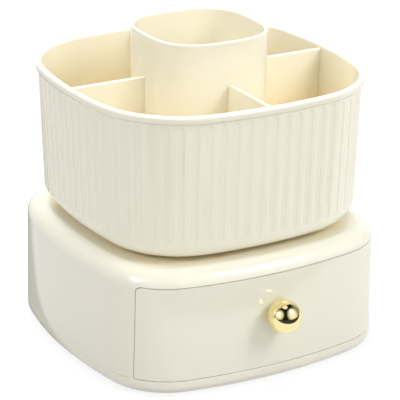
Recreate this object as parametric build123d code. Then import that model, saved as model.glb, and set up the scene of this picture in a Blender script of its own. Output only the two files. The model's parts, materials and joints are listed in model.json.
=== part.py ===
"""Rotating makeup organizer: a fluted bin with a centre cup and four compartments turns on a ball
bearing above a rounded drawer base.

Millimetres, +Z up. The origin is on the turntable axis at the surface the feet stand on. The drawer
opens toward -Y. Heights are measured from that surface unless a comment says otherwise.
"""
from build123d import *
from math import asin, cos, degrees, radians, sin, sqrt, tan
import os

# ---- fits shared by all pieces ----
SEAT_GAP = 0.15          # between pieces that are fixed to each other
SLIDE_GAP = 0.3          # between pieces that slide past each other
PART_LINE = 0.5          # visible line round the drawer front
PIVOT_FIT = 0.05         # radial clearance of the bin's hub on its post
SCREW_FIT = 0.05         # radial clearance of a screw in its hole
BALL_FIT = 0.08          # clearance of a ball in the races and in the cage

# ---- feet and base plate ----
FOOT_RADIUS = 7.0
FOOT_HEIGHT = 2.5
FOOT_PROUD = 1.0         # how far the feet stand out below the plate
FOOT_EDGE = 0.5
FOOT_INSET = 34.0        # of the four outer feet, from the sides
PLATE_BAND = 8.3         # height of the plate, visible under the drawer
PLATE_SKIRT = 6.6        # thickness of the plate's outer wall
PLATE_DECK = 2.4
PLATE_EDGE = 4.8         # rounding of the plate's lower edge
PLATE_RIB = 1.6
RIB_INSET = 62.0         # of the plate's ribs, from the sides
BOSS_WALL = 2.4

# ---- base housing ----
BASE_HALF = 90.0         # from the axis to the middle of a side
BASE_CORNER = 40.0       # radius of the upright corners
BASE_BULGE = 267.0       # radius of the bowed sides
BASE_TOP = 72.8
BASE_DRAFT = 1.2         # degrees that the walls lean inward
BASE_SHOULDER = 9.6      # rounding of the top edge
BASE_WALL = 2.5
SEAM_ROUND = 0.35        # rounding of the edges along the seam between plate and housing
POST_INSET = 36.0        # of the screw posts, from the front and rear
POST_CLEAR = 2.4         # between posts and the tray's guides
POST_RADIUS = 4.0
WELL_RADIUS = 50.0       # recess that holds the turntable
WELL_DEPTH = 6.0
WELL_FLOOR = 2.5
WELL_CHAMFER = 0.6

# ---- drawer ----
DRAWER_WRAP = 22.0       # how far the parting line on the sides lies behind the front
DRAWER_TOP = 64.6        # upper parting line
FRONT_CORNER = 3.0       # rounding of the drawer front's upper rear corners
FRONT_WALL = 3.0
FRAME_WALL = 2.5         # upright frame that the tray passes through
TRAY_SIDE_INSET = 23.0   # from the base's side to the tray's
TRAY_REAR_INSET = 19.0   # from the base's rear to the tray's
TRAY_WALL = 2.0
TRAY_TOP = 59.5
TRAY_REAR_CORNER = 8.0
TRAY_FRONT_CORNER = 4.0
TRAY_FLOOR_EDGE = 1.8    # rounding inside, round the floor
RUNNER_HEIGHT = 0.6
RUNNER_WIDTH = 4.0
RUNNER_OFFSET = 42.0
GUIDE_HEIGHT = 6.0
GUIDE_WIDTH = 1.8
STOP_WIDTH = 4.0
STOP_HEIGHT = 2.6
DRAWER_TRAVEL = 110.0
KNOB_RADIUS = 9.5
KNOB_STANDOFF = 9.2      # from the drawer front to the ball's centre
KNOB_HEIGHT = 42.15
KNOB_HOLE = 9.0          # depth of the threaded hole

# ---- turntable ----
BALL_RADIUS = 2.5
BALL_COUNT = 16
RACE_MARGIN = 4.0        # between the well's wall and the races
RACE_WIDTH = 22.0
RACE_THICK = 2.6
BALL_INSET = 6.0         # of the balls' circle, from the races' outer edge
RACE_SCREW_INSET = 5.5   # of the screws' circle, from the races' inner edge
RACE_SCREW_COUNT = 4
CAGE_THICK = 1.8
CAGE_RIM = 3.2           # material of the cage on each side of its pockets
PIVOT_RADIUS = 5.0
HUB_WALL = 3.0
HUB_HEIGHT = 2.0         # hub ring above the bin's floor
HUB_PLAY = 0.2           # endwise play of the hub under its washer
WASHER_RADIUS = 9.0
WASHER_THICK = 1.2

# ---- bin ----
BIN_BOTTOM = 74.9
BIN_TOP = 159.5
BIN_HALF = 81.0          # of the wall, at the bottom plane
BIN_CORNER = 49.6
BIN_BULGE = 245.0
BIN_DRAFT = 1.85         # degrees that the wall leans outward
BIN_EDGE = 12.0          # rounding between floor and wall
BIN_WALL = 2.0
BIN_FLOOR = 2.6
LIP_PROUD = 1.3
LIP_HEIGHT = 4.6
LIP_ROUND = 1.4
LIP_UNDER = 0.9          # chamfer under the lip
RIM_ROUND = 0.7          # rounding of the rim's inner edge
FLUTE_COUNT = 72
FLUTE_SHARE = 0.52       # of the pitch, taken by the recess
FLUTE_DEPTH = 0.5
FLUTE_TOP_GAP = 1.7      # between the lip and the flutes
FLUTE_FOOT = 10.5        # of the flutes' lower ends, above the bin's bottom

# ---- dividers and cup ----
DIVIDER_THICK = 2.2
DIVIDER_TOP = 157.9
DIVIDER_ROUND = 0.8
SLOT_DEPTH = 0.6         # how deep a divider's edge sits in the wall and in the cup
SLOT_FIT = 0.1
CUP_TOP = 182.6
CUP_HALF = 35.4
CUP_CORNER = 24.7
CUP_BULGE = 150.0
CUP_WALL = 2.0
CUP_FLOOR_RISE = 6.5     # underside of the cup's floor, above the bin's floor
CUP_FLOOR = 2.0
CUP_ROUND = 0.9
LOCATOR_HEIGHT = 1.8     # rib on the bin's floor that the cup fits over
LOCATOR_WALL = 1.4

# ---- screws ----
SCREW_RADIUS = 1.5
SCREW_HEAD = 2.9
SCREW_HEAD_THICK = 1.9
SCREW_TIP = 0.4          # chamfer at the end
SCREW_SPACE = 1.0        # of a blind hole, past the screw's end
SINK_RADIUS = 2.8        # head of a countersunk screw
SINK_DEPTH = 1.3
CROSS_DEPTH = 0.9        # of the recess in the heads
CROSS_WIDTH = 0.8
CROSS_SHARE = 0.6        # of the head's width
PLATE_SCREW = 18.0
RACE_SCREW = 4.4
FRONT_SCREW = 4.0
FRONT_SCREW_X = 45.0
FRONT_SCREW_HEIGHT = 36.0
KNOB_SCREW = 12.0
PIVOT_SCREW = 9.0
SPOT_DEPTH = 0.3         # of the flat seats for screw heads in the tray

# ---- heights and places that follow ----
FAR = 4 * BASE_HALF
PLATE_BOTTOM = FOOT_PROUD
PLATE_TOP = PLATE_BOTTOM + PLATE_BAND
PLATE_HOLLOW = PLATE_TOP - PLATE_DECK
BASE_CEILING = BASE_TOP - BASE_WALL
FOOT_OFFSET = BASE_HALF - FOOT_INSET
RIB_OFFSET = BASE_HALF - RIB_INSET
FRAME_FRONT = DRAWER_WRAP - BASE_HALF
FRAME_REAR = FRAME_FRONT + FRAME_WALL
FRONT_BOTTOM = PLATE_TOP + PART_LINE
TRAY_HALF = BASE_HALF - TRAY_SIDE_INSET
TRAY_REAR = BASE_HALF - TRAY_REAR_INSET
TRAY_BOTTOM = PLATE_TOP + RUNNER_HEIGHT + SLIDE_GAP
POST_X = TRAY_HALF + SLIDE_GAP + GUIDE_WIDTH + POST_CLEAR + POST_RADIUS
POST_Y = BASE_HALF - POST_INSET
WELL_TOP = BASE_TOP - WELL_DEPTH
WELL_BOTTOM = WELL_TOP - WELL_FLOOR
RACE_OUTER = WELL_RADIUS - RACE_MARGIN
RACE_INNER = RACE_OUTER - RACE_WIDTH
BALL_CIRCLE = RACE_OUTER - BALL_INSET
RACE_SCREW_CIRCLE = RACE_INNER + RACE_SCREW_INSET
BIN_FLOOR_TOP = BIN_BOTTOM + BIN_FLOOR
BALL_HEIGHT = (WELL_TOP + BIN_BOTTOM) / 2
PIVOT_TOP = BIN_FLOOR_TOP + HUB_HEIGHT + HUB_PLAY
LIP_BOTTOM = BIN_TOP - LIP_HEIGHT
CUP_FLOOR_BOTTOM = BIN_FLOOR_TOP + CUP_FLOOR_RISE


# ---- shapes that several pieces use ----
def rounded_square(half, corner, bulge, inset=0.0):
    """A square with bowed sides and round corners, drawn in by an inset."""
    flat = bulge - half
    reach = bulge - corner
    centre = (sqrt(2 * reach**2 - flat**2) - flat) / 2
    outer_bulge, outer_corner = bulge - inset, corner - inset
    x = outer_bulge * (centre + flat) / reach - flat
    y = outer_bulge * centre / reach
    diagonal = centre + outer_corner / sqrt(2)
    side = ThreePointArc((x, -y), (half - inset, 0), (x, y))
    turn = ThreePointArc((x, y), (diagonal, diagonal), (y, x))
    edges = [Rot(0, 0, 90 * quarter) * edge for quarter in range(4) for edge in (side, turn)]
    return Face(Wire(edges))


def prism(sketch, low, high, taper=0.0):
    """A sketch drawn upward from one height to another."""
    return extrude(Pos(0, 0, low) * sketch, high - low, taper=taper)


def edges_at(solid, height):
    """The edges whose middle lies at one height."""
    return solid.edges().filter_by_position(Axis.Z, height - 0.01, height + 0.01)


def block(x_low, x_high, y_low, y_high, z_low, z_high):
    """A box between its two corners."""
    size = (x_high - x_low, y_high - y_low, z_high - z_low)
    return Pos(x_low, y_low, z_low) * Box(*size, align=(Align.MIN, Align.MIN, Align.MIN))


def rod(radius, low, high, x=0.0, y=0.0):
    """An upright cylinder."""
    return Pos(x, y, low) * Cylinder(radius, high - low, align=(Align.CENTER, Align.CENTER, Align.MIN))


def cone(radius_low, radius_high, low, high):
    """An upright cone, cut off at both ends."""
    align = (Align.CENTER, Align.CENTER, Align.MIN)
    return Pos(0, 0, low) * Cone(radius_low, radius_high, high - low, align=align)


def on_circle(radius, count, start=0.0):
    """Places evenly round the turntable axis."""
    turns = [radians(start + 360 * index / count) for index in range(count)]
    return [(radius * cos(turn), radius * sin(turn)) for turn in turns]


# ---- screws, all drawn pointing down from the plane z = 0 ----
def screw_shank(length):
    shank = rod(SCREW_RADIUS, -length, 0)
    return chamfer(edges_at(shank, -length), SCREW_TIP)


def screw_cross(head):
    """The cross recess in a screw's head, below the plane z = 0."""
    align = (Align.CENTER, Align.CENTER, Align.MAX)
    arm = Box(2 * head * CROSS_SHARE, CROSS_WIDTH, CROSS_DEPTH, align=align)
    return arm + Rot(0, 0, 90) * arm


def pan_screw(length):
    """A screw whose flat head rests on the plane z = 0."""
    head = rod(SCREW_HEAD, 0, SCREW_HEAD_THICK)
    head = fillet(edges_at(head, SCREW_HEAD_THICK), SCREW_HEAD_THICK / 2)
    return screw_shank(length) + head - Pos(0, 0, SCREW_HEAD_THICK) * screw_cross(SCREW_HEAD)


def sunk_screw(length):
    """A countersunk screw, its head flush with the plane z = 0."""
    return screw_shank(length) + cone(SCREW_RADIUS, SINK_RADIUS, -SINK_DEPTH, 0) - screw_cross(SINK_RADIUS)


def screw_hole(length):
    """The hole for a screw, from the plane z = 0 down."""
    return rod(SCREW_RADIUS + SCREW_FIT, -length, 0)


def sunk_hole(length):
    """The hole for a countersunk screw."""
    sink = cone(SCREW_RADIUS + SCREW_FIT, SINK_RADIUS + SCREW_FIT, -SINK_DEPTH, 0)
    return screw_hole(length) + sink


# ---- base ----
def base_body(inset, low, high, shoulder=0.0):
    """The leaning, round-shouldered block that the base's pieces are cut from."""
    lean = (low - PLATE_BOTTOM) * tan(radians(BASE_DRAFT))
    outline = rounded_square(BASE_HALF, BASE_CORNER, BASE_BULGE, inset + lean)
    solid = prism(outline, low, high, BASE_DRAFT)
    return fillet(edges_at(solid, high), shoulder) if shoulder else solid


def front_zone(gap):
    """The space in front of the frame and below the upper parting line, drawn back by a gap."""
    rear, top = FRAME_FRONT - gap, DRAWER_TOP - gap
    profile = Plane.YZ * Polyline((-FAR, -FAR), (rear, -FAR), (rear, top), (-FAR, top), close=True)
    zone = extrude(make_face(profile), FAR, both=True)
    corner = zone.edges().filter_by(Axis.X).sort_by(Axis.Y)[-2:].sort_by(Axis.Z)[-1]
    return fillet(corner, FRONT_CORNER - gap)


def foot_places():
    outer = [(x, y) for x in (-FOOT_OFFSET, FOOT_OFFSET) for y in (-FOOT_OFFSET, FOOT_OFFSET)]
    return outer + [(0, 0)]


def post_places():
    return [(x, y) for x in (-POST_X, POST_X) for y in (-POST_Y, POST_Y)]


def base_plate():
    """The plate that closes the base: deck on top, skirt, ribs and bosses below, rails above."""
    plate = base_body(0, PLATE_BOTTOM, PLATE_TOP)
    plate = fillet(edges_at(plate, PLATE_BOTTOM), PLATE_EDGE)
    plate = fillet(edges_at(plate, PLATE_TOP), SEAM_ROUND)
    hollow = base_body(PLATE_SKIRT, PLATE_BOTTOM, PLATE_HOLLOW)
    for turn in (0, 90, 180, 270):
        rib = block(RIB_OFFSET, RIB_OFFSET + PLATE_RIB, -FAR, FAR, PLATE_BOTTOM, PLATE_HOLLOW)
        hollow -= Rot(0, 0, turn) * rib
    hollow -= [rod(FOOT_RADIUS + BOSS_WALL, PLATE_BOTTOM, PLATE_HOLLOW, x, y) for x, y in foot_places()]
    hollow -= [rod(SCREW_HEAD + BOSS_WALL, PLATE_BOTTOM, PLATE_HOLLOW, x, y) for x, y in post_places()]
    plate -= hollow
    plate -= [rod(FOOT_RADIUS + SEAT_GAP, PLATE_BOTTOM, FOOT_HEIGHT, x, y) for x, y in foot_places()]
    plate -= [rod(SCREW_HEAD + SLIDE_GAP, PLATE_BOTTOM, PLATE_HOLLOW, x, y) for x, y in post_places()]
    plate -= [Pos(x, y, PLATE_TOP) * screw_hole(PLATE_DECK) for x, y in post_places()]
    for side in (-1, 1):
        rail_low, rail_high = sorted(side * RUNNER_OFFSET + edge * RUNNER_WIDTH / 2 for edge in (-1, 1))
        plate += block(rail_low, rail_high, FRAME_REAR, TRAY_REAR, PLATE_TOP, PLATE_TOP + RUNNER_HEIGHT)
        guide_inner = TRAY_HALF + SLIDE_GAP
        guide_low, guide_high = sorted((side * guide_inner, side * (guide_inner + GUIDE_WIDTH)))
        guide_front = FRAME_REAR + SLIDE_GAP
        plate += block(guide_low, guide_high, guide_front, TRAY_REAR, PLATE_TOP, PLATE_TOP + GUIDE_HEIGHT)
    return plate


def rubber_feet():
    """Round pads pressed into the plate, four outside and one under the middle."""
    feet = [rod(FOOT_RADIUS, 0, FOOT_HEIGHT, x, y) for x, y in foot_places()]
    return [fillet(edges_at(foot, 0), FOOT_EDGE) for foot in feet]


def base_plate_screws():
    """Screws up through the plate into the housing's posts."""
    return [Pos(x, y, PLATE_HOLLOW) * Rot(180, 0, 0) * pan_screw(PLATE_SCREW) for x, y in post_places()]


def base_housing():
    """The outer shell: walls, round shoulder, turntable well, drawer frame and screw posts."""
    housing = base_body(0, PLATE_TOP, BASE_TOP, BASE_SHOULDER)
    housing = fillet(edges_at(housing, PLATE_TOP), SEAM_ROUND)
    hollow = base_body(BASE_WALL, PLATE_TOP, BASE_CEILING, BASE_SHOULDER - BASE_WALL)
    hollow -= block(-FAR, FAR, FRAME_FRONT, FRAME_REAR, PLATE_TOP, BASE_TOP)
    hollow -= block(-FAR, FAR, -FAR, FRAME_REAR, DRAWER_TOP, DRAWER_TOP + BASE_WALL)
    hollow -= rod(WELL_RADIUS + BASE_WALL, WELL_BOTTOM, BASE_TOP)
    hollow -= [rod(POST_RADIUS, PLATE_TOP, BASE_TOP, x, y) for x, y in post_places()]
    housing -= hollow
    passage = TRAY_HALF + PART_LINE
    housing -= block(-passage, passage, -FAR, FRAME_REAR, PLATE_TOP, TRAY_TOP + PART_LINE)
    housing -= front_zone(0)
    housing -= rod(WELL_RADIUS, WELL_TOP, BASE_TOP)
    housing -= cone(WELL_RADIUS, WELL_RADIUS + WELL_CHAMFER, BASE_TOP - WELL_CHAMFER, BASE_TOP)
    housing += rod(PIVOT_RADIUS, WELL_BOTTOM, PIVOT_TOP)
    housing -= Pos(0, 0, PIVOT_TOP) * screw_hole(PIVOT_SCREW + SCREW_SPACE)
    bottom_hole = Rot(180, 0, 0) * screw_hole(PLATE_SCREW - PLATE_DECK + SCREW_SPACE)
    housing -= [Pos(x, y, PLATE_TOP) * bottom_hole for x, y in post_places()]
    race_holes = on_circle(RACE_SCREW_CIRCLE, RACE_SCREW_COUNT)
    housing -= [Pos(x, y, WELL_TOP) * screw_hole(RACE_SCREW - RACE_THICK + SCREW_FIT) for x, y in race_holes]
    return housing


# ---- drawer ----
def tray_body(inset, low, high):
    """The drawer's block: bowed in front like the drawer front, straight at the sides and rear."""
    half, rear = TRAY_HALF - inset, TRAY_REAR - inset
    box = block(-half, half, -FAR, rear, low, high)
    box = fillet(box.edges().filter_by(Axis.Z).group_by(Axis.Y)[-1], TRAY_REAR_CORNER - inset)
    body = box & base_body(FRONT_WALL + SEAT_GAP + inset, low, high)
    upright = [edge for edge in body.edges() if edge.bounding_box().size.Z > (high - low) / 2]
    front_corners = [edge for edge in upright
                     if edge.center().Y < 0 and abs(edge.center().X) > half - SEAT_GAP]
    return fillet(front_corners, TRAY_FRONT_CORNER - inset)


def wall_screw_place(x, height, lean):
    """Where a screw points outward from the tray's front wall, its head's seat as the origin."""
    inset = FRONT_WALL + SEAT_GAP + TRAY_WALL + (height - PLATE_BOTTOM) * tan(radians(BASE_DRAFT))
    bow = BASE_BULGE - inset
    turn = asin(x / bow)
    depth = bow + SPOT_DEPTH
    y = BASE_BULGE - BASE_HALF - depth * cos(turn)
    return Pos(depth * sin(turn), y, height) * Rot(0, 0, degrees(turn)) * Rot(-90 - lean, 0, 0)


def front_screw_places():
    return [wall_screw_place(side * FRONT_SCREW_X, FRONT_SCREW_HEIGHT, BASE_DRAFT) for side in (-1, 1)]


def knob_screw_place():
    return wall_screw_place(0, KNOB_HEIGHT, 0)


def drawer_tray():
    """The open box behind the drawer front, with stop lugs that meet the frame at full travel."""
    tray = tray_body(0, TRAY_BOTTOM, TRAY_TOP)
    cavity = tray_body(TRAY_WALL, TRAY_BOTTOM + TRAY_WALL, TRAY_TOP)
    cavity = fillet(edges_at(cavity, TRAY_BOTTOM + TRAY_WALL), TRAY_FLOOR_EDGE)
    tray -= cavity
    stop_front = FRAME_REAR + DRAWER_TRAVEL + SLIDE_GAP
    for side in (-1, 1):
        lug_low, lug_high = sorted((side * TRAY_HALF, side * (TRAY_HALF - TRAY_WALL)))
        tray += block(lug_low, lug_high, stop_front, stop_front + STOP_WIDTH,
                      TRAY_TOP - STOP_WIDTH, TRAY_TOP + STOP_HEIGHT)
    seat = rod(SCREW_HEAD + SLIDE_GAP, 0, SCREW_HEAD_THICK)
    for place in front_screw_places() + [knob_screw_place()]:
        tray -= place * (screw_hole(2 * TRAY_WALL) + seat)
    return tray


def drawer_front():
    """The bowed panel that closes the base's front and wraps round its corners."""
    front = base_body(0, FRONT_BOTTOM, BASE_TOP, BASE_SHOULDER)
    front -= base_body(FRONT_WALL, FRONT_BOTTOM, BASE_TOP, BASE_SHOULDER - FRONT_WALL)
    front &= front_zone(PART_LINE)
    front -= knob_screw_place() * screw_hole(KNOB_SCREW)
    for place in front_screw_places():
        front -= place * screw_hole(FRONT_SCREW + SCREW_FIT)
    return front


def knob_seat():
    """How far in front of the axis the knob meets the drawer front."""
    return BASE_HALF - (KNOB_HEIGHT - PLATE_BOTTOM) * tan(radians(BASE_DRAFT)) + SEAT_GAP


def drawer_knob():
    """A ball, cut flat where it meets the drawer front."""
    centre = knob_seat() - SEAT_GAP + KNOB_STANDOFF
    ball = Pos(0, -centre, KNOB_HEIGHT) * Sphere(KNOB_RADIUS)
    ball -= block(-FAR, FAR, -knob_seat(), FAR, -FAR, FAR)
    hole = Pos(0, -knob_seat(), KNOB_HEIGHT) * Rot(-90, 0, 0) * screw_hole(KNOB_HOLE)
    return ball - hole


def knob_screw():
    return knob_screw_place() * pan_screw(KNOB_SCREW)


def drawer_front_screws():
    """Short screws that hold the drawer front to the tray, beside the knob."""
    return [place * pan_screw(FRONT_SCREW) for place in front_screw_places()]


# ---- turntable ----
def race(low, start):
    """A ring with the balls' groove and countersunk screw holes, its groove on the balls' side."""
    disc = rod(RACE_OUTER, low, low + RACE_THICK) - rod(RACE_INNER, low, low + RACE_THICK)
    disc -= Pos(0, 0, BALL_HEIGHT) * Torus(BALL_CIRCLE, BALL_RADIUS + BALL_FIT)
    below = low < BALL_HEIGHT
    face = Pos(0, 0, low + RACE_THICK) if below else Pos(0, 0, low) * Rot(180, 0, 0)
    for x, y in on_circle(RACE_SCREW_CIRCLE, RACE_SCREW_COUNT, start):
        disc -= Pos(x, y, 0) * face * sunk_hole(RACE_THICK)
    return disc


def upper_screw_start():
    """The upper race's screws are turned half a step from the lower race's."""
    return 180 / RACE_SCREW_COUNT


def lower_race():
    return race(WELL_TOP, 0)


def upper_race():
    return race(BIN_BOTTOM - RACE_THICK, upper_screw_start())


def lower_race_screws():
    places = on_circle(RACE_SCREW_CIRCLE, RACE_SCREW_COUNT)
    return [Pos(x, y, WELL_TOP + RACE_THICK) * sunk_screw(RACE_SCREW) for x, y in places]


def upper_race_screws():
    places = on_circle(RACE_SCREW_CIRCLE, RACE_SCREW_COUNT, upper_screw_start())
    face = BIN_BOTTOM - RACE_THICK
    return [Pos(x, y, face) * Rot(180, 0, 0) * sunk_screw(RACE_SCREW) for x, y in places]


def ball_cage():
    """A flat ring between the races that keeps the balls apart."""
    low, high = BALL_HEIGHT - CAGE_THICK / 2, BALL_HEIGHT + CAGE_THICK / 2
    pocket = BALL_RADIUS + BALL_FIT
    cage = rod(BALL_CIRCLE + pocket + CAGE_RIM, low, high) - rod(BALL_CIRCLE - pocket - CAGE_RIM, low, high)
    return cage - [rod(pocket, low, high, x, y) for x, y in on_circle(BALL_CIRCLE, BALL_COUNT)]


def bearing_balls():
    return [Pos(x, y, BALL_HEIGHT) * Sphere(BALL_RADIUS) for x, y in on_circle(BALL_CIRCLE, BALL_COUNT)]


def pivot_washer():
    """The washer that keeps the bin's hub on its post."""
    washer = rod(WASHER_RADIUS, PIVOT_TOP, PIVOT_TOP + WASHER_THICK)
    return washer - Pos(0, 0, PIVOT_TOP + WASHER_THICK) * screw_hole(WASHER_THICK)


def pivot_screw():
    return Pos(0, 0, PIVOT_TOP + WASHER_THICK) * pan_screw(PIVOT_SCREW)


# ---- bin ----
def bin_widening(height):
    """How much further out the bin's wall is at a height than at its bottom."""
    return (height - BIN_BOTTOM) * tan(radians(BIN_DRAFT))


def bin_outline(inset, height):
    return rounded_square(BIN_HALF, BIN_CORNER, BIN_BULGE, inset - bin_widening(height))


def bin_body(inset, low, edge):
    """The block that widens upward from a rounded lower edge to the rim."""
    body = prism(bin_outline(inset, low), low, BIN_TOP, -BIN_DRAFT)
    return fillet(edges_at(body, low), edge)


def bin_cavity(inset=BIN_WALL):
    return bin_body(inset, BIN_FLOOR_TOP, BIN_EDGE - BIN_WALL)


def flute_cutters():
    """Long slots with round ends, square to the wall and evenly spaced round it."""
    top, bottom = LIP_BOTTOM - FLUTE_TOP_GAP, BIN_BOTTOM + FLUTE_FOOT
    middle = (top + bottom) / 2
    outline = bin_outline(FLUTE_DEPTH, middle).outer_wire()
    width = FLUTE_SHARE * bin_outline(0, middle).outer_wire().length / FLUTE_COUNT
    length = (top - bottom) / cos(radians(BIN_DRAFT))
    first = outline.param_at_point((BIN_HALF + bin_widening(middle) - FLUTE_DEPTH, 0, 0))
    cutters = []
    for index in range(FLUTE_COUNT):
        share = (first + index / FLUTE_COUNT) % 1
        place, along = outline @ share, outline % share
        outward = Vector(along.Y, -along.X, 0)
        outward *= 1 if outward.dot(place) > 0 else -1
        upward = Vector(0, 0, cos(radians(BIN_DRAFT))) + outward * sin(radians(BIN_DRAFT))
        normal = outward * cos(radians(BIN_DRAFT)) - Vector(0, 0, sin(radians(BIN_DRAFT)))
        wall = Plane(origin=place + Vector(0, 0, middle), x_dir=upward, z_dir=normal)
        cutters.append(extrude(wall * SlotOverall(length, width), 3 * FLUTE_DEPTH))
    return cutters


def divider_zone(thickness, low, high):
    """Four upright slabs that run from the axis past the walls."""
    slab = block(0, FAR, -thickness / 2, thickness / 2, low, high)
    return [Rot(0, 0, turn) * slab for turn in (0, 90, 180, 270)]


def fluted_bin():
    """The turning bin: fluted wall, plain lip, and seats for the cup and dividers."""
    body = bin_body(0, BIN_BOTTOM, BIN_EDGE)
    lip = prism(bin_outline(-LIP_PROUD, LIP_BOTTOM), LIP_BOTTOM, BIN_TOP)
    lip = chamfer(edges_at(lip, LIP_BOTTOM), LIP_UNDER)
    body += fillet(edges_at(lip, BIN_TOP), LIP_ROUND)
    body -= bin_cavity()
    body = fillet(inner_rim(body), RIM_ROUND)
    body -= flute_cutters()
    slot_walls = bin_cavity(BIN_WALL - SLOT_DEPTH)
    body -= [slot_walls & slab for slab in divider_zone(DIVIDER_THICK + 2 * SLOT_FIT, BIN_FLOOR_TOP, BIN_TOP)]
    body += cup_locator()
    body += rod(PIVOT_RADIUS + PIVOT_FIT + HUB_WALL, BIN_BOTTOM, BIN_FLOOR_TOP + HUB_HEIGHT)
    body -= rod(PIVOT_RADIUS + PIVOT_FIT, BIN_BOTTOM, BIN_FLOOR_TOP + HUB_HEIGHT)
    hole = Rot(180, 0, 0) * screw_hole(RACE_SCREW - RACE_THICK + SCREW_FIT)
    places = on_circle(RACE_SCREW_CIRCLE, RACE_SCREW_COUNT, upper_screw_start())
    return body - [Pos(x, y, BIN_BOTTOM) * hole for x, y in places]


def inner_rim(body):
    """The edges where the cavity opens in the rim's top."""
    inside = Pos(0, 0, BIN_TOP) * bin_outline(BIN_WALL / 2, BIN_TOP)
    return [edge for edge in edges_at(body, BIN_TOP) if inside.is_inside(edge @ 0.5)]


def cup_body(inset, low, high):
    return prism(rounded_square(CUP_HALF, CUP_CORNER, CUP_BULGE, inset), low, high)


def cup_locator():
    """The rib on the bin's floor that the cup fits over."""
    top = BIN_FLOOR_TOP + LOCATOR_HEIGHT
    root = BIN_FLOOR_TOP - BIN_FLOOR / 2
    inset = CUP_WALL + SEAT_GAP
    return cup_body(inset, root, top) - cup_body(inset + LOCATOR_WALL, root, top)


def center_cup():
    """The tall cup in the middle, whose raised floor hides the pivot."""
    cup = cup_body(0, BIN_FLOOR_TOP, CUP_TOP)
    cup -= cup_body(CUP_WALL, BIN_FLOOR_TOP, CUP_FLOOR_BOTTOM)
    cup -= cup_body(CUP_WALL, CUP_FLOOR_BOTTOM + CUP_FLOOR, CUP_TOP)
    cup = fillet(edges_at(cup, CUP_TOP), CUP_ROUND)
    slot_top = DIVIDER_TOP + SLOT_FIT
    slots = [slab - cup_body(SLOT_DEPTH, BIN_FLOOR_TOP, slot_top)
             for slab in divider_zone(DIVIDER_THICK + 2 * SLOT_FIT, BIN_FLOOR_TOP, slot_top)]
    return cup - slots


def dividers():
    """Four plates between cup and wall, each standing in a slot at both ends."""
    walls = bin_cavity(BIN_WALL - SLOT_DEPTH + SLOT_FIT)
    cup = cup_body(SLOT_DEPTH - SLOT_FIT, BIN_FLOOR_TOP, CUP_TOP)
    plates = []
    for slab in divider_zone(DIVIDER_THICK, BIN_FLOOR_TOP, DIVIDER_TOP):
        plate = (slab & walls) - cup
        plates.append(fillet(long_top_edges(plate), DIVIDER_ROUND))
    return plates


def long_top_edges(plate):
    edges = edges_at(plate, DIVIDER_TOP)
    return [edge for edge in edges if edge.length > 2 * DIVIDER_THICK]


def main():
    os.makedirs("parts", exist_ok=True)
    right, back, left, front = dividers()
    pieces = {
        "rubber_feet": rubber_feet(),
        "base_plate": [base_plate()],
        "base_plate_screws": base_plate_screws(),
        "base_housing": [base_housing()],
        "drawer_tray": [drawer_tray()],
        "drawer_front": [drawer_front()],
        "drawer_front_screws": drawer_front_screws(),
        "drawer_knob": [drawer_knob()],
        "knob_screw": [knob_screw()],
        "lower_race": [lower_race()],
        "lower_race_screws": lower_race_screws(),
        "ball_cage": [ball_cage()],
        "bearing_balls": bearing_balls(),
        "upper_race": [upper_race()],
        "upper_race_screws": upper_race_screws(),
        "pivot_washer": [pivot_washer()],
        "pivot_screw": [pivot_screw()],
        "fluted_bin": [fluted_bin()],
        "center_cup": [center_cup()],
        "divider_right": [right],
        "divider_back": [back],
        "divider_left": [left],
        "divider_front": [front],
    }
    for name, solids in pieces.items():
        export_step(Compound(solids) if len(solids) > 1 else solids[0], f"parts/{name}.step")


main()
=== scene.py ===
"""Looks of a rotating makeup organizer: a fluted bin that turns above a base with a drawer.

Everything is in metres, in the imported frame: +Z up, the turntable's axis through the origin, and the
drawer opening toward -Y.
"""

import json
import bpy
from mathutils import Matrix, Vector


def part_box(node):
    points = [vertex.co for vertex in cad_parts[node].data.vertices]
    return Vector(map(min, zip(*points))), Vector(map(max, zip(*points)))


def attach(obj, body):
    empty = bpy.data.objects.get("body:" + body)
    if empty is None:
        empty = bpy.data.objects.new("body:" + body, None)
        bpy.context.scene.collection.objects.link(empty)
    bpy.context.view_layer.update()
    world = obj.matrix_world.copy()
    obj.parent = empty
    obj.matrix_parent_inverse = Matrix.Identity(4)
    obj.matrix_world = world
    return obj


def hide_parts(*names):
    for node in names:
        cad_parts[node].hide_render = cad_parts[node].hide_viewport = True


bl_info = {
    "name": "Rotating Makeup Organizer",
    "version": (1, 0, 0),
    "blender": (4, 5, 0),
    "location": "3D View > Sidebar > Organizer",
    "description": "Finishes a rotating makeup organizer and sets up its studio",
    "category": "Object",
}

from math import cos, pi, radians, sin, sqrt, tan

import bmesh
import bpy
import numpy as np
from bpy.props import FloatProperty, FloatVectorProperty, IntProperty, PointerProperty
from mathutils import Quaternion, Vector

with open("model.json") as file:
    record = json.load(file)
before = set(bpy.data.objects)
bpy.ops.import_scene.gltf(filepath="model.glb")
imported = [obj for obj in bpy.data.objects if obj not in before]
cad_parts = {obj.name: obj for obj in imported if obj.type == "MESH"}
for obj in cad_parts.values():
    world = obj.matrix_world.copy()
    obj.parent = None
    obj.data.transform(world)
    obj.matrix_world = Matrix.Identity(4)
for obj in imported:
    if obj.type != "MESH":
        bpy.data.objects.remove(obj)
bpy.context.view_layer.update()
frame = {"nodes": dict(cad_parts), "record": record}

MM = 0.001
BIN_LOW, BIN_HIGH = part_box("fluted_bin")
KNOB_LOW, KNOB_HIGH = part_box("drawer_knob")
WASHER_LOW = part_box("pivot_washer")[0]

# The bin's hub: its bore, its wall, and how far its top stays under the pivot washer.
HUB_RADIUS = 5.05 * MM
HUB_WALL = 3 * MM
HUB_PLAY = 0.2 * MM

# Grids of the new pieces.
FLUTE_COLUMNS = 14
KNOB_COLUMNS = 128
KNOB_RINGS = 72

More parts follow.
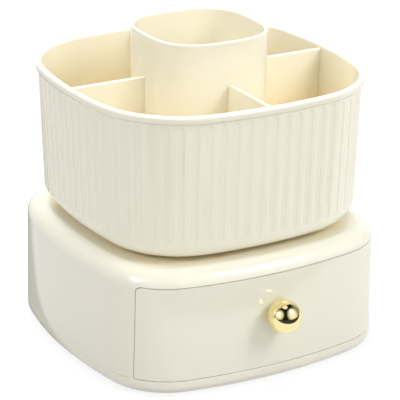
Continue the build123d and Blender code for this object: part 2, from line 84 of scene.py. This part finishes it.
# Materials, by the record's material slots.
FINISHES = {"ivory_shell": "ivory_plastic", "gold": "gold_plating", "feet": "foot_rubber",
            "race_plastic": "race_plastic", "steel": "zinc_steel", "bearing_steel": "ball_steel"}
OUTER_MARK = "outer_wall"

# Where the ivory changes: heights at which the darker, greener lower tone gives way to the upper one,
# heights over which the painted warm shade sets in on the deck, depths below the rim at which it is
# full and gone, and the rounded square round the bin's foot inside which it is full and outside which
# it is gone.
BASE_TO_BIN = (73.6 * MM, 74.4 * MM)
DECK_EDGE = (66 * MM, 70 * MM)
WARM_DEPTH, PLAIN_DEPTH = 55 * MM, 4 * MM
FOOT_REACH = 80 * MM
FOOT_FULL, FOOT_GONE = 0.82, 0.99

# The studio's floor: how much of it glows where it is seen, and how light the lit paper is.
FLOOR_REACH = 12.0
PAPER_GLOW = 0.88
PAPER_GREY = 0.45

# The floor as gloss shows it: the shadow behind the object, and the dark past the table's front.
SHADE_LEVEL, DARK_LEVEL = 0.3, 0.05
SHADOW_EDGE = 97 * MM
SHADOW_START, SHADOW_END = (-0.02, 0.02), (0.3, 0.6)
TABLE_FRONT = -0.19
EDGE_BLUR = 1.5 * MM
FRONT_BLUR = 4 * MM

# The room as gloss shows it: directions from which it is white, and its tones elsewhere.
ROOM_BACK = (0.15, 0.5)
ROOM_CEILING = (0.955, 0.985)
ROOM_SIDE = (0.55, 0.9)
ROOM_TONE = (0.012, 0.011, 0.01)
ROOM_SIDE_TONE = (0.3, 0.3, 0.24)
HALOS = (((0.58, -0.92, 0.52), 0.7, 0.97), ((-1.05, -0.25, 0.55), 0.78, 0.98))

# Lamps: name, place, diameter, the setting with its strength, and whether gloss shows it.
LAMPS = (("right_lamp", (0.54, -0.85, 0.89), 0.55, "key", True),
         ("left_lamp", (-1.05, -0.2, 0.71), 0.45, "fill", True),
         ("top_lamp", (0.0, 0.1, 1.6), 1.0, "top", False),
         ("front_lamp", (0.1, -1.3, 0.45), 0.8, "front", False),
         ("back_lamp", (0.3, 1.2, 0.9), 0.8, "back", False))
LAMP_AIM = (0, 0, 0.09)

CAMERA_TARGET = (-0.0011, -0.0050, 0.0788)
SENSOR = 36.0
CLIP_NEAR, CLIP_FAR = 0.05, 50


# ---- settings ----
def length(name, description, default):
    """A length that a user may change, in metres."""
    return FloatProperty(name=name, description=description, default=default, unit="LENGTH")


def angle(name, description, degrees):
    """An angle that a user may change."""
    return FloatProperty(name=name, description=description, default=radians(degrees), subtype="ANGLE")


def strength(name, description, watts):
    """A lamp's strength that a user may change, in watts."""
    return FloatProperty(name=name, description=description, default=watts, unit="POWER")


def colour(name, description, default):
    """A colour that a user may change."""
    return FloatVectorProperty(name=name, description=description, default=default, subtype="COLOR",
                               min=0, max=1)


class BinSizes(bpy.types.PropertyGroup):
    """Sizes of the turning bin. Its overall size comes from the frame."""
    half: length("Half Width", "From the axis to the middle of a side, at the bottom", 81.0 * MM)
    corner: length("Corner Radius", "Radius of the upright corners, at the bottom", 49.6 * MM)
    bulge: length("Side Radius", "Radius of the bowed sides, at the bottom", 245.0 * MM)
    draft: angle("Draft", "Lean of the wall", 1.85)
    wall: length("Wall", "Thickness of the wall", 2.0 * MM)
    floor: length("Floor", "Thickness of the floor", 2.6 * MM)
    edge: length("Lower Edge", "Rounding between floor and wall", 12.0 * MM)
    lip_height: length("Lip Height", "Height of the plain lip", 4.6 * MM)
    lip_proud: length("Lip Depth", "How far the lip stands out", 1.3 * MM)
    lip_under: length("Lip Slope", "Sloped step under the lip", 0.9 * MM)
    lip_round: length("Lip Rounding", "Rounding of the lip's top", 1.4 * MM)
    rim_round: length("Rim Rounding", "Rounding of the rim's inner edge", 0.7 * MM)
    flute_count: IntProperty(name="Flutes", description="Number of flutes round the wall", default=72)
    flute_share: FloatProperty(name="Flute Share", description="Share of the pitch that is recessed",
                               default=0.52)
    flute_depth: length("Flute Depth", "Depth of the flutes", 0.5 * MM)
    flute_edge: length("Flute Edge", "Width of the soft edge of a flute", 0.75 * MM)
    flute_top: length("Flute Top Gap", "Plain wall between the lip and the flutes", 1.7 * MM)
    flute_foot: length("Flute Foot", "Lower end of the flutes above the bottom", 10.5 * MM)


class KnobSizes(bpy.types.PropertyGroup):
    """Sizes of the drawer's knob. Its place comes from the frame."""
    seat: length("Seat Radius", "Flat ring that meets the drawer front", 2.2 * MM)


class Colours(bpy.types.PropertyGroup):
    """Colours of the finishes."""
    ivory: colour("Ivory", "Gloss plastic of the shells", (0.95, 0.91, 0.76))
    # Painted shade: a warmer ivory that is painted deep inside the bin and on the deck round its foot,
    # where they lie in shade.
    painted_shade_ivory: colour("Warm Ivory", "Ivory where light has soaked through the shell", (0.97, 0.86, 0.6))
    # Used below the bin's foot height: a darker, greener ivory than the bin's.
    base: colour("Base Ivory", "Ivory of the base and drawer", (0.9, 0.872, 0.742))
    gold: colour("Gold", "Plating of the knob", (1.0, 0.87, 0.45))
    rubber: colour("Rubber", "Feet", (0.09, 0.085, 0.08))
    race: colour("Race Plastic", "Races and ball cage", (0.72, 0.71, 0.67))
    steel: colour("Steel", "Zinc-plated screws and washer", (0.56, 0.57, 0.58))
    ball: colour("Ball Steel", "Polished bearing balls", (0.72, 0.72, 0.74))
    paper: colour("Paper", "Studio floor and background", (1.0, 1.0, 1.0))


class StudioSizes(bpy.types.PropertyGroup):
    """Camera and lamps."""
    azimuth: angle("Azimuth", "Camera's direction round the axis", -29.67)
    elevation: angle("Elevation", "Camera's height above the horizon", 21.44)
    roll: angle("Roll", "Camera's roll", 0.57)
    distance: length("Distance", "From the camera to its target", 1.1143)
    lens: FloatProperty(name="Lens", description="Focal length", default=172.6, unit="CAMERA")
    key: strength("Key", "Strength of the right lamp", 6.05)
    fill: strength("Fill", "Strength of the left lamp", 3.75)
    top: strength("Top", "Strength of the overhead lamp", 18.5)
    front: strength("Front", "Strength of the low front lamp", 3.0)
    back: strength("Back", "Strength of the lamp behind", 12.7)
    sky: FloatProperty(name="Sky", description="Strength of the light from all round", default=0.32)


class OrganizerSettings(bpy.types.PropertyGroup):
    """All that a user may change."""
    bin: PointerProperty(type=BinSizes)
    knob: PointerProperty(type=KnobSizes)
    colours: PointerProperty(type=Colours)
    studio: PointerProperty(type=StudioSizes)


# ---- shader graphs ----
class Value:
    """A socket that can be used in Python sums."""

    def __init__(self, graph, socket):
        self.graph, self.socket = graph, socket

    def _math(self, operation, first, second):
        return self.graph.add("ShaderNodeMath", {"operation": operation}, {0: first, 1: second})

    def __add__(self, other):
        return self._math("ADD", self, other)

    def __sub__(self, other):
        return self._math("SUBTRACT", self, other)

    def __mul__(self, other):
        return self._math("MULTIPLY", self, other)

    def __rsub__(self, other):
        return self._math("SUBTRACT", other, self)

    def __or__(self, other):
        return self._math("MAXIMUM", self, other)

    __radd__ = __add__
    __rmul__ = __mul__


class Graph:
    """The nodes of a material or a world, added in one way."""

    def __init__(self, owner):
        owner.use_nodes = True
        self.tree = owner.node_tree
        self.tree.nodes.clear()

    def add(self, kind, settings=None, inputs=None, output=0):
        """Adds a node, sets it up, feeds its sockets and returns one of its outputs."""
        node = self.tree.nodes.new(kind)
        for name, value in (settings or {}).items():
            setattr(node, name, value)
        for name, value in (inputs or {}).items():
            if isinstance(value, Value):
                self.tree.links.new(value.socket, node.inputs[name])
            else:
                node.inputs[name].default_value = value
        return Value(self, node.outputs[output]) if node.outputs else None

    def place(self, kind="Object"):
        """Object coordinates, in metres, or in a world the direction of the ray."""
        return self.add("ShaderNodeTexCoord", output=kind)

    def axis(self, letter, kind="Object"):
        """One coordinate of the place."""
        return self.add("ShaderNodeSeparateXYZ", None, {0: self.place(kind)}, output=letter)

    def ray(self, kind):
        """1 for rays of one kind."""
        return self.add("ShaderNodeLightPath", output=f"Is {kind} Ray")

    def noise(self, per_metre, detail=2.0):
        """Noise from 0 to 1 that is fixed to the object."""
        return self.add("ShaderNodeTexNoise", None, {"Vector": self.place(), "Scale": per_metre,
                                                     "Detail": detail})

    def blend(self, mask, first, second):
        """The first colour where the mask is 0 and the second where it is 1."""
        return self.add("ShaderNodeMix", {"data_type": "RGBA"},
                        {"Factor": mask, "A": rgba(first), "B": rgba(second)}, output="Result")

    def ramp(self, value, start, end):
        """A smooth step from 0 at start to 1 at end."""
        return self.add("ShaderNodeMapRange", {"interpolation_type": "SMOOTHSTEP"},
                        {"Value": value, "From Min": start, "From Max": end})

    def bump(self, height, depth, base=None):
        """A normal from a height of 0 to 1 that stands for a real depth in metres."""
        inputs = {"Height": height, "Distance": depth, "Strength": 1.0}
        if base:
            inputs["Normal"] = base
        return self.add("ShaderNodeBump", None, inputs)

    def surface(self, shader):
        """Ends a material's graph in a shader."""
        self.add("ShaderNodeOutputMaterial", None, {"Surface": shader})

    def finish(self, **inputs):
        """Ends a material's graph in a Principled shader with the sockets named."""
        names = {key.replace("_", " ").title(): value for key, value in inputs.items()}
        self.surface(self.add("ShaderNodeBsdfPrincipled", None, names))


def rgba(tone, share=1.0):
    """A colour times a share, with alpha 1. A linked colour passes unchanged."""
    if isinstance(tone, Value):
        return tone
    return tuple(part * share for part in tone[:3]) + (1.0,)


# ---- finishes ----
def painted_warm_shade(graph):
    """1 where a warmer ivory is painted as shade: deep inside the bin, and on the deck round its foot.

    The foot's edge is taken as the rounded square on which the fourth powers of x and y add up to a
    constant.
    """
    x, y = (graph.axis(letter) * (1 / FOOT_REACH) for letter in "XY")
    height = graph.axis("Z")
    spread = x * x * x * x + y * y * y * y
    foot = (1 - graph.ramp(spread, FOOT_FULL**4, FOOT_GONE**4)) * graph.ramp(height, *DECK_EDGE)
    wall = graph.add("ShaderNodeAttribute", {"attribute_name": OUTER_MARK}, output="Fac")
    depth = 1 - graph.ramp(height, BIN_HIGH.z - WARM_DEPTH, BIN_HIGH.z - PLAIN_DEPTH)
    above = graph.ramp(height, *BASE_TO_BIN)
    return foot * (1 - above) | (1 - wall) * depth * above


def ivory_plastic(graph, tone, lower_tone, shade_tone):
    """Gloss moulded plastic: a slight clouding of colour and gloss, and the faint waves of a moulding."""
    clouds = graph.noise(per_metre=14.0)
    haze = graph.noise(per_metre=90.0, detail=3.0)
    grain = graph.noise(per_metre=2600.0)
    lower, upper = (graph.blend(clouds, rgba(part, 0.985), rgba(part, 1.01)) for part in (lower_tone, tone))
    # Below the bin's foot height the ivory is darker and greener than above it.
    plain = graph.blend(graph.ramp(graph.axis("Z"), *BASE_TO_BIN), lower, upper)
    waves = graph.bump(graph.noise(per_metre=26.0, detail=1.0), 0.05 * MM)
    # Painted shade: a warmer ivory is painted deep inside the bin and on the deck round its foot.
    graph.finish(base_color=graph.blend(painted_warm_shade(graph), plain, shade_tone),
                 roughness=0.07 + 0.05 * haze + 0.02 * grain, coat_weight=0.25, coat_roughness=0.06,
                 normal=graph.bump(grain, 0.0015 * MM, waves))


def gold_plating(graph, tone):
    """Mirror plating with faint swirls of handling."""
    smear = graph.noise(per_metre=180.0, detail=4.0)
    graph.finish(base_color=graph.blend(smear, rgba(tone, 0.96), tone), metallic=1.0,
                 roughness=0.03 + 0.03 * smear)


def foot_rubber(graph, tone):
    """Dull rubber with a fine grain."""
    grain = graph.noise(per_metre=1500.0, detail=4.0)
    graph.finish(base_color=graph.blend(grain, rgba(tone, 0.8), rgba(tone, 1.2)),
                 roughness=0.6 + 0.2 * grain, normal=graph.bump(grain, 0.03 * MM))


def race_plastic(graph, tone):
    """Half-dull slippery plastic of the turntable."""
    grain = graph.noise(per_metre=900.0, detail=3.0)
    graph.finish(base_color=graph.blend(grain, rgba(tone, 0.95), rgba(tone, 1.03)),
                 roughness=0.42 + 0.12 * grain, normal=graph.bump(grain, 0.01 * MM))


def steel(graph, tone, dull):
    """Bare or plated steel; dull runs from 0, polished, to 1, zinc plated."""
    grain = graph.noise(per_metre=1200.0, detail=3.0)
    graph.finish(base_color=graph.blend(grain, rgba(tone, 1 - 0.15 * dull), tone), metallic=1.0,
                 roughness=0.06 + (0.28 + 0.1 * grain) * dull)


def make_finishes(colours):
    """Makes the material of every slot."""
    graphs = {slot: Graph(bpy.data.materials.new(name)) for slot, name in FINISHES.items()}
    ivory_plastic(graphs["ivory_shell"], colours.ivory, colours.base, colours.painted_shade_ivory)
    gold_plating(graphs["gold"], colours.gold)
    foot_rubber(graphs["feet"], colours.rubber)
    race_plastic(graphs["race_plastic"], colours.race)
    steel(graphs["steel"], colours.steel, 1.0)
    steel(graphs["bearing_steel"], colours.ball, 0.0)


def finish_of(slot):
    """The material made for one of the record's slots."""
    return bpy.data.materials[FINISHES[slot]]


# ---- surfaces ----
def new_piece(name, mesh):
    """An object at the origin for a finished mesh."""
    piece = bpy.data.objects.new(name, mesh)
    bpy.context.scene.collection.objects.link(piece)
    return piece


def wrap_grid(name, points, closed_rows):
    """A mesh object over a grid of points, rows by columns, whose columns close into rings.

    Row follows row along the profile, and the last row joins the first where closed_rows is true.
    """
    rows, columns = points.shape[:2]
    row = np.arange(rows if closed_rows else rows - 1)[:, None]
    column = np.arange(columns)[None, :]
    next_row, next_column = (row + 1) % rows, (column + 1) % columns
    corners = [row * columns + column, row * columns + next_column,
               next_row * columns + next_column, next_row * columns + column]
    faces = np.stack(corners, axis=-1).reshape(-1, 4)
    mesh = bpy.data.meshes.new(name)
    mesh.from_pydata(points.reshape(-1, 3), [], faces)
    mesh.validate()
    mesh.shade_smooth()
    return new_piece(name, mesh)


def bowed_square(share, half, corner, bulge):
    """Arc centre, arc radius and outward normal at shares of a bowed square's length, and the length.

    The outline is eight tangent arcs: each side is an arc of the bulge radius about a point beyond
    the axis, and each corner an arc of the corner radius about a point on the diagonal. Share 0 is
    the middle of the +X side, and shares run anticlockwise. Any parallel outline keeps the centres
    and normals, and adds its distance to the radii.
    """
    flat, reach = bulge - half, bulge - corner
    centre = (sqrt(2 * reach**2 - flat**2) - flat) / 2
    side_turn = np.arcsin(centre / reach)
    side_length, quarter_turn = bulge * side_turn, pi / 2
    quarter_length = 2 * side_length + corner * (quarter_turn - 2 * side_turn)
    along = (share % 1) * 4
    quarter = np.floor(along)
    along = (along - quarter) * quarter_length
    first = along < side_length
    last = along > quarter_length - side_length
    heading = np.where(first, along / bulge, side_turn + (along - side_length) / corner)
    heading = np.where(last, quarter_turn - (quarter_length - along) / bulge, heading)
    centre_x = np.where(first, -flat, np.where(last, 0.0, centre))
    centre_y = np.where(first, 0.0, np.where(last, -flat, centre))
    radius = np.where(first | last, bulge, corner)
    turn = quarter * quarter_turn
    middle = np.stack([centre_x * np.cos(turn) - centre_y * np.sin(turn),
                       centre_x * np.sin(turn) + centre_y * np.cos(turn)], axis=-1)
    normal = np.stack([np.cos(heading + turn), np.sin(heading + turn)], axis=-1)
    return middle, radius, normal, 4 * quarter_length


def quarter_arc(radius, steps):
    """Points of a quarter round: radius times sine, and radius times one minus cosine, of the turn."""
    turn = np.linspace(0, pi / 2, steps)
    return zip(radius * np.sin(turn), radius * (1 - np.cos(turn)))


def flute_ends(sizes):
    """Heights of the flutes' lower and upper ends."""
    return BIN_LOW.z + sizes.flute_foot, BIN_HIGH.z - sizes.lip_height - sizes.flute_top


def middle_outline(sizes, share):
    """The wall's outline half way up the flutes, after that height and the growth from the bottom.

    The wall leans outward, so the outline has grown by the height times the tangent of the draft.
    """
    height = sum(flute_ends(sizes)) / 2
    growth = (height - BIN_LOW.z) * tan(sizes.draft)
    return height, growth, bowed_square(share, sizes.half + growth, sizes.corner + growth,
                                        sizes.bulge + growth)


def flute_width(sizes):
    """Width of a flute: its share of the pitch on the outline half way up the flutes."""
    perimeter = middle_outline(sizes, np.zeros(1))[2][-1]
    return sizes.flute_share * perimeter / sizes.flute_count


def bin_profile(sizes):
    """The bin wall's profile as (offset from the outline, height, flute weight) rows.

    Offsets are measured outward from the outline at the bottom plane. The wall adds the height times
    the tangent of the draft. From the hub the profile runs out under the floor, up the wall, over
    the lip, down inside and back over the floor.
    """
    low, high = BIN_LOW.z, BIN_HIGH.z
    lean = tan(sizes.draft)
    lip_low = high - sizes.lip_height
    floor_top = low + sizes.floor
    rows = []

    def wall(z, inset=0.0, weight=0.0):
        rows.append(((z - low) * lean - inset, z, weight))

    # Under the floor, and up the rounding to the wall.
    deepest = 0.96 * sizes.corner
    for inset in np.linspace(deepest, sizes.edge, 4, endpoint=False):
        rows.append((-inset, low, 0.0))
    for side, rise in quarter_arc(sizes.edge, 14):
        wall(low + rise, sizes.edge - side, 1.0)

    # Up the wall, with more rows at the round ends of the flutes.
    bottom, top = flute_ends(sizes)
    end = flute_width(sizes) / 2 + sizes.flute_edge
    heights = np.concatenate([np.linspace(bottom + 0.15 * end, bottom + end, 6),
                              np.linspace(bottom + end, top - end, 5)[1:-1],
                              np.linspace(top - end, top + sizes.flute_edge / 2, 10)])
    for z in heights[heights > low + sizes.edge]:
        wall(z, 0.0, 1.0)

    # Out along the step under the lip, up the lip and over its rounding.
    step, soft = 0.1 * MM, 0.12 * MM
    lip_offset = (lip_low - low) * lean + sizes.lip_proud
    wall(lip_low - step)
    rows.append((lip_offset - sizes.lip_under, lip_low, 0.0))
    rows.append((lip_offset - soft, lip_low + sizes.lip_under - soft, 0.0))
    rows.append((lip_offset, lip_low + sizes.lip_under + step, 0.0))
    for side, rise in quarter_arc(sizes.lip_round, 9):
        rows.append((lip_offset - rise, high - sizes.lip_round + side, 0.0))

    # Across the rim, down the inner wall and in over the floor.
    inner_high = (high - low) * lean - sizes.wall
    rows.append(((lip_offset + inner_high) / 2 - step, high, 0.0))
    for side, rise in quarter_arc(sizes.rim_round, 6):
        rows.append((inner_high + sizes.rim_round - side, high - rise, 0.0))
    inner_edge = sizes.edge - sizes.wall
    for z in np.linspace(high - 2 * MM, floor_top + inner_edge, 6):
        wall(z, sizes.wall)
    for side, rise in quarter_arc(inner_edge, 9):
        wall(floor_top + inner_edge - side, sizes.wall + rise)
    for inset in np.linspace(sizes.edge, deepest, 5)[1:]:
        rows.append((-inset, floor_top, 0.0))
    return np.array(rows)


def bin_points(sizes):
    """The bin's surface: outline centre plus normal times (radius + offset - flute recess).

    A flute's recess is its depth times a smooth step of the distance to a slot with round ends.
    """
    count = sizes.flute_count * FLUTE_COLUMNS
    share = np.arange(count) / count
    middle, growth, (centre, radius, normal, perimeter) = middle_outline(sizes, share)
    offset, height, weight = bin_profile(sizes).T
    bottom, top = flute_ends(sizes)
    pitch = perimeter / sizes.flute_count
    across = (share * perimeter + pitch / 2) % pitch - pitch / 2
    slot = flute_width(sizes) / 2
    beyond = np.maximum(np.abs(height - middle) - ((top - bottom) / 2 - slot), 0)
    distance = np.hypot(across[None, :], beyond[:, None]) - slot
    step = np.clip(0.5 - distance / sizes.flute_edge, 0, 1)
    recess = sizes.flute_depth * step**2 * (3 - 2 * step) * weight[:, None]
    wall_offset = (height - middle) * tan(sizes.draft)
    offset = (offset - growth)[:, None]
    offset = np.where(recess > 0, np.minimum(offset, wall_offset[:, None] - recess), offset)
    flat = centre[None] + normal[None] * (radius[None] + offset)[..., None]
    return np.concatenate([flat, np.broadcast_to(height[:, None, None], flat.shape[:2] + (1,))], axis=-1)


def hub_rings(points, radius, top):
    """Rings from the floor's deepest outline to the hub's wall, above the floor and then below it.

    Each ring is a weighted mean of the outline and the hub's circle at the same headings.
    """
    heading = np.arctan2(points[0, :, 1], points[0, :, 0])
    circle = np.stack([np.cos(heading), np.sin(heading)], axis=-1)

    def ring(outline, weight, reach, height):
        flat = (1 - weight) * outline[:, :2] + weight * reach * circle
        return np.concatenate([flat, np.full((len(flat), 1), height)], axis=-1)

    below, above = points[0], points[-1]
    low, high = below[0, 2], above[0, 2]
    outer = radius + HUB_WALL
    return np.array([ring(above, 0.5, outer, high), ring(above, 1, outer, high),
                     ring(above, 1, outer, top), ring(above, 1, radius, top),
                     ring(below, 1, radius, low), ring(below, 0.5, radius, low)])


def knob_points(radius, seat, centre, face):
    """A ball about centre that is cut flat toward +Y.

    Polar angle runs from the front pole to the cut; a ring at angle t lies radius * cos(t) in front
    of the centre and radius * sin(t) out. The cut is closed by rings that shrink to its middle.
    """
    cut = pi - np.arcsin(seat / radius)
    polar = np.concatenate([np.linspace(0.004, cut, KNOB_RINGS), [cut] * 3])
    out = radius * np.sin(polar)
    ahead = radius * np.cos(polar)
    out[-3:] = seat * np.array([0.8, 0.4, 0.01])
    ahead[-3:] = ahead[-4]
    heading = np.linspace(0, 2 * pi, KNOB_COLUMNS, endpoint=False)
    x = centre.x + out[:, None] * np.cos(heading)
    z = centre.z + out[:, None] * np.sin(heading)
    y = np.broadcast_to(centre.y - ahead[:, None], x.shape)
    return np.stack([x, np.minimum(y, face), z], axis=-1)


def cap_ends(piece):
    """Closes the small rings at a surface's two ends."""
    mesh = piece.data
    work = bmesh.new()
    work.from_mesh(mesh)
    bmesh.ops.holes_fill(work, edges=[edge for edge in work.edges if edge.is_boundary], sides=0)
    bmesh.ops.recalc_face_normals(work, faces=work.faces)
    work.to_mesh(mesh)
    work.free()
    mesh.shade_smooth()


def dress(piece, slot, body, node):
    """Gives a new piece its finish and its body, in place of a CAD node."""
    piece.data.materials.append(finish_of(slot))
    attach(piece, body)
    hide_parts(node)


# ---- studio ----
def seen_by(graph, camera, glossy):
    """A share for rays from the camera or through glass, a share for mirrored rays, 0 for the rest."""
    direct = graph.ray("Camera") | graph.ray("Transmission")
    return direct * camera | graph.ray("Glossy") * glossy


def mirrored_floor(graph, tone):
    """The floor as gloss shows it: shaded behind the object, and dark past the table's front."""
    across, back = graph.axis("X"), graph.axis("Y")
    beside = graph.ramp(across * across, (SHADOW_EDGE - EDGE_BLUR)**2, (SHADOW_EDGE + EDGE_BLUR)**2)
    behind = graph.ramp(back, *SHADOW_START) * (1 - graph.ramp(back, *SHADOW_END))
    shaded = graph.blend((1 - beside) * behind, tone, rgba(tone, SHADE_LEVEL))
    on_table = graph.ramp(back, TABLE_FRONT - FRONT_BLUR, TABLE_FRONT)
    return graph.blend(on_table, rgba(tone, DARK_LEVEL), shaded)


def studio_paper(graph, tone):
    """Studio floor: its own white where it is seen or mirrored, over a lit paper that keeps the shadow."""
    base = graph.blend(graph.ray("Camera"), rgba(tone, PAPER_GREY), tone)
    lit = graph.add("ShaderNodeBsdfDiffuse", None, {"Color": base})
    mirrored = graph.blend(graph.ray("Glossy"), tone, mirrored_floor(graph, tone))
    glow = graph.add("ShaderNodeEmission", None, {"Color": mirrored, "Strength": 1.0})
    share = seen_by(graph, camera=PAPER_GLOW, glossy=1.0)
    graph.surface(graph.add("ShaderNodeMixShader", None, {0: share, 1: lit, 2: glow}))


def lay_floor(tone):
    """A square of paper that is wide enough to fill every view."""
    mesh = bpy.data.meshes.new("studio_floor")
    reach = FLOOR_REACH
    mesh.from_pydata([(-reach, -reach, 0), (reach, -reach, 0), (reach, reach, 0), (-reach, reach, 0)],
                     [], [(0, 1, 2, 3)])
    floor = new_piece("studio_floor", mesh)
    material = bpy.data.materials.new("studio_paper")
    studio_paper(Graph(material), tone)
    mesh.materials.append(material)


def add_lamp(name, place, size, power, mirrored):
    """A soft round lamp that points at the object, and is seen in gloss where mirrored is true."""
    lamp = bpy.data.lights.new(name, "AREA")
    lamp.shape, lamp.size, lamp.energy = "DISK", size, power
    holder = bpy.data.objects.new(name, lamp)
    holder.location = place
    holder.rotation_mode = "QUATERNION"
    holder.rotation_quaternion = (Vector(LAMP_AIM) - Vector(place)).to_track_quat("-Z", "Y")
    holder.visible_glossy = mirrored
    bpy.context.scene.collection.objects.link(holder)


def add_world(sky, tone):
    """Even light from all round, and plain white where it is seen.

    Mirrored rays see the same white behind the object and overhead, and a dark room on the side of
    the drawer, in which there are soft halos about the front lamps' directions.
    """
    world = bpy.data.worlds.new("studio")
    bpy.context.scene.world = world
    graph = Graph(world)
    side, back, height = (graph.axis(letter, "Generated") for letter in "XYZ")
    bright = graph.ramp(back, *ROOM_BACK) | graph.ramp(height, *ROOM_CEILING)
    for direction, start, end in HALOS:
        facing = graph.add("ShaderNodeVectorMath", {"operation": "DOT_PRODUCT"},
                           {0: graph.place("Generated"), 1: Vector(direction).normalized()}, output="Value")
        bright = bright | graph.ramp(facing, start, end)
    dark = graph.blend(graph.ramp(side, *ROOM_SIDE), ROOM_TONE, ROOM_SIDE_TONE)
    shade = graph.blend(graph.ray("Glossy"), tone, graph.blend(bright, dark, tone))
    seen = seen_by(graph, camera=1.0, glossy=1.0)
    light = graph.add("ShaderNodeBackground", None, {"Color": shade, "Strength": seen * (1 - sky) + sky})
    graph.add("ShaderNodeOutputWorld", None, {"Surface": light})


def aim_camera(studio):
    """A camera at the studio's azimuth, elevation and distance from its target."""
    away = Vector((sin(studio.azimuth) * cos(studio.elevation),
                   -cos(studio.azimuth) * cos(studio.elevation), sin(studio.elevation)))
    camera = bpy.data.objects.new("camera", bpy.data.cameras.new("camera"))
    bpy.context.scene.collection.objects.link(camera)
    bpy.context.scene.camera = camera
    camera.data.lens = studio.lens
    camera.data.sensor_width = SENSOR
    camera.data.clip_start, camera.data.clip_end = CLIP_NEAR, CLIP_FAR
    camera.location = Vector(CAMERA_TARGET) + away * studio.distance
    camera.rotation_mode = "QUATERNION"
    camera.rotation_quaternion = Quaternion(away, studio.roll) @ (-away).to_track_quat("-Z", "Y")


# ---- operators ----
class ORGANIZER_OT_finishes(bpy.types.Operator):
    """Make every finish and give each carried-over node its own"""
    bl_idname = "organizer.finishes"
    bl_label = "Finishes"

    def execute(self, context):
        make_finishes(context.scene.organizer.colours)
        slots = {entry["node"]: entry["material_slot"] for entry in frame["record"]["subparts"]}
        for name, node in frame["nodes"].items():
            node.data.materials.clear()
            node.data.materials.append(finish_of(slots[name]))
        return {"FINISHED"}


class ORGANIZER_OT_bin(bpy.types.Operator):
    """Make the fluted bin with soft-edged flutes"""
    bl_idname = "organizer.bin"
    bl_label = "Fluted Bin"

    def execute(self, context):
        points = bin_points(context.scene.organizer.bin)
        hub = hub_rings(points, HUB_RADIUS, WASHER_LOW.z - HUB_PLAY)
        points = np.concatenate([points, hub])
        piece = wrap_grid("fluted_bin_shell", points, closed_rows=True)
        outer = np.arange(len(points)) <= np.argmax(points[:, 0, 2])
        mark = piece.data.attributes.new(OUTER_MARK, "FLOAT", "POINT")
        mark.data.foreach_set("value", np.repeat(outer, points.shape[1]).astype(np.float32))
        dress(piece, "ivory_shell", "bin", "fluted_bin")
        return {"FINISHED"}


class ORGANIZER_OT_knob(bpy.types.Operator):
    """Make the polished ball knob"""
    bl_idname = "organizer.knob"
    bl_label = "Ball Knob"

    def execute(self, context):
        radius = (KNOB_HIGH.z - KNOB_LOW.z) / 2
        centre = Vector((0, KNOB_LOW.y + radius, (KNOB_LOW.z + KNOB_HIGH.z) / 2))
        points = knob_points(radius, context.scene.organizer.knob.seat, centre, KNOB_HIGH.y)
        piece = wrap_grid("ball_knob", points, closed_rows=False)
        cap_ends(piece)
        dress(piece, "gold", "drawer", "drawer_knob")
        return {"FINISHED"}


class ORGANIZER_OT_stage(bpy.types.Operator):
    """Set up the floor, lamps and camera"""
    bl_idname = "organizer.stage"
    bl_label = "Studio"

    def execute(self, context):
        settings = context.scene.organizer
        studio, paper = settings.studio, settings.colours.paper
        lay_floor(paper)
        for name, place, size, setting, mirrored in LAMPS:
            add_lamp(name, place, size, getattr(studio, setting), mirrored)
        add_world(studio.sky, paper)
        aim_camera(studio)
        context.scene.view_settings.view_transform = "Standard"
        return {"FINISHED"}


STEPS = (ORGANIZER_OT_finishes, ORGANIZER_OT_bin, ORGANIZER_OT_knob, ORGANIZER_OT_stage)


class ORGANIZER_PT_panel(bpy.types.Panel):
    """Lists the steps in the sidebar"""
    bl_idname = "ORGANIZER_PT_panel"
    bl_label = "Organizer"
    bl_space_type = "VIEW_3D"
    bl_region_type = "UI"
    bl_category = "Organizer"

    def draw(self, context):
        for step in STEPS:
            self.layout.operator(step.bl_idname)


CLASSES = (BinSizes, KnobSizes, Colours, StudioSizes, OrganizerSettings) + STEPS + (ORGANIZER_PT_panel,)


def register():
    for kind in CLASSES:
        bpy.utils.register_class(kind)
    bpy.types.Scene.organizer = PointerProperty(type=OrganizerSettings)


def unregister():
    del bpy.types.Scene.organizer
    for kind in reversed(CLASSES):
        bpy.utils.unregister_class(kind)


def main():
    register()
    bpy.ops.organizer.finishes()
    bpy.ops.organizer.bin()
    bpy.ops.organizer.knob()
    bpy.ops.organizer.stage()


if __name__ == "__main__":
    main()
